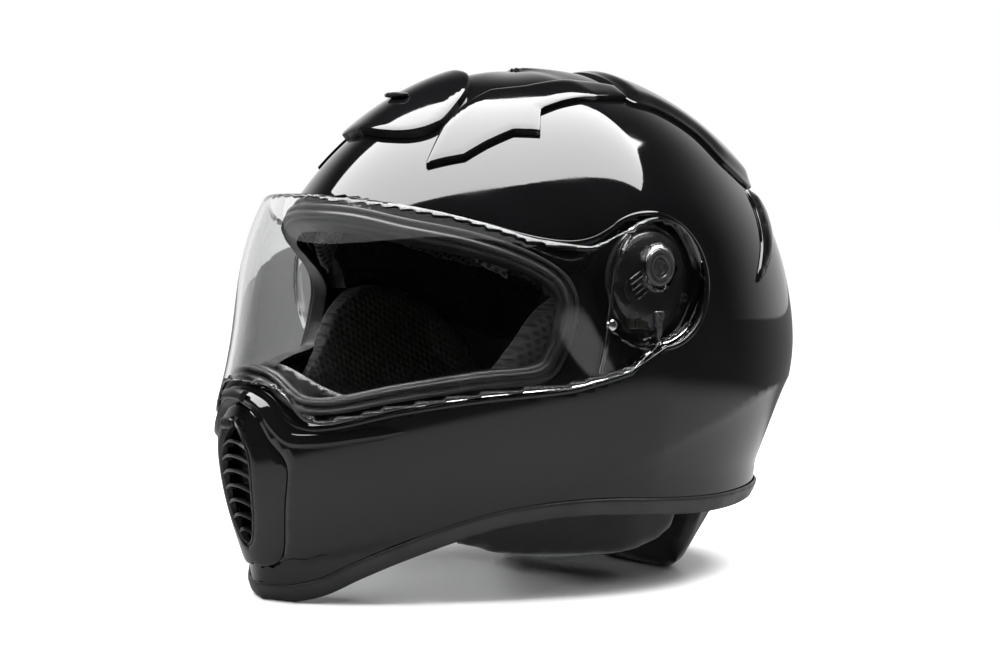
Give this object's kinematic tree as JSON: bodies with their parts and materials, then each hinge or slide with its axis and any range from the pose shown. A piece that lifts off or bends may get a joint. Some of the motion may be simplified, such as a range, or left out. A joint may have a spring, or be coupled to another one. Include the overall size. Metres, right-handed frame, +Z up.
{
  "type": "motorcycle helmet",
  "caption": "Full-face motorcycle helmet with a hinged clear visor, padded lining, crown and chin vents, a rear spoiler and a buckled chin strap.",
  "frame": {"origin": "centre of the helmet's footprint on the surface it stands on", "axes": "+Y towards the back of the head and +X towards the wearer's left, so the visor faces -Y; +Z up"},
  "size_m": [0.248, 0.343, 0.2648],
  "materials": {
    "lacquered_shell": "high-gloss black lacquer on a fibre composite shell",
    "clear_visor": "clear hard-coated polycarbonate",
    "black_rubber": "satin moulded rubber",
    "impact_foam": "black expanded polystyrene",
    "net_fabric": "dark grey net fabric over foam",
    "webbing": "woven black webbing",
    "steel_fittings": "plated steel",
    "grey_plastic": "semi-gloss dark grey moulding",
    "black_plastic": "satin black moulding"
  },
  "bodies": {
    "shell": {"anchor_plate_left": "steel_fittings", "anchor_plate_right": "steel_fittings", "anchor_rivet_left": "steel_fittings", "anchor_rivet_right": "steel_fittings", "base_screw_left_front": "steel_fittings", "base_screw_left_rear": "steel_fittings", "base_screw_right_front": "steel_fittings", "base_screw_right_rear": "steel_fittings", "bottom_trim": "black_rubber", "breath_guard": "black_plastic", "brow_pad": "net_fabric", "buckle_body": "steel_fittings", "buckle_pin": "steel_fittings", "cheek_pad_left": "net_fabric", "cheek_pad_right": "net_fabric", "chin_panel": "lacquered_shell", "chin_vent_grille": "black_plastic", "crown_pad": "net_fabric", "crown_scoop": "lacquered_shell", "eps_chin_liner": "impact_foam", "eps_crown_liner": "impact_foam", "exhaust_blade_left": "lacquered_shell", "exhaust_blade_right": "lacquered_shell", "eyeport_gasket": "black_rubber", "hub_screw_left": "grey_plastic", "hub_screw_right": "grey_plastic", "neck_roll": "net_fabric", "outer_shell": "lacquered_shell", "pivot_base_left": "grey_plastic", "pivot_base_right": "grey_plastic", "pivot_hub_left": "grey_plastic", "pivot_hub_right": "grey_plastic", "ratchet_comb_left": "black_plastic", "ratchet_comb_right": "black_plastic", "ratchet_tongue": "black_plastic", "rear_spoiler": "lacquered_shell", "strap_left": "webbing", "strap_right": "webbing", "wing_panel_left": "lacquered_shell", "wing_panel_right": "lacquered_shell"},
    "visor": {"visor": "clear_visor", "visor_tab": "black_plastic", "visor_rivet_left": "steel_fittings", "visor_rivet_right": "steel_fittings"},
    "release_lever_left": {"release_lever_left": "grey_plastic"},
    "release_lever_right": {"release_lever_right": "grey_plastic"},
    "chin_vent_slider": {"chin_vent_slider": "black_plastic"},
    "crown_vent_slider": {"crown_vent_slider": "black_plastic"},
    "buckle_lever": {"buckle_lever": "steel_fittings"}
  },
  "joints": [
    {"name": "visor_lift", "type": "hinge", "parent": "shell", "child": "visor", "pos_m": [0, -0.0008, 0.161], "axis": [-1, 0, 0], "range_deg": [0, 55]},
    {"name": "release_lever_left_turn", "type": "hinge", "parent": "shell", "child": "release_lever_left", "pos_m": [0.1165, 0.0012, 0.137], "axis": [1, 0, 0], "range_deg": [0, 15], "stiffness_Nm_per_rad": 0.02, "springref_deg": -11.46},
    {"name": "release_lever_right_turn", "type": "hinge", "parent": "shell", "child": "release_lever_right", "pos_m": [-0.1165, 0.0012, 0.137], "axis": [1, 0, 0], "range_deg": [0, 15], "stiffness_Nm_per_rad": 0.02, "springref_deg": -11.46},
    {"name": "chin_vent_slide", "type": "slide", "parent": "shell", "child": "chin_vent_slider", "axis": [0, 0, -1], "range_m": [0, 0.008]},
    {"name": "crown_vent_slide", "type": "slide", "parent": "shell", "child": "crown_vent_slider", "axis": [0, 0.8737, 0.4865], "range_m": [0, 0.006]},
    {"name": "buckle_lever_turn", "type": "hinge", "parent": "shell", "child": "buckle_lever", "pos_m": [0.023, -0.0078, 0.036], "axis": [0, 1, 0], "range_deg": [0, 45], "stiffness_Nm_per_rad": 0.05, "springref_deg": -17.19}
  ]
}
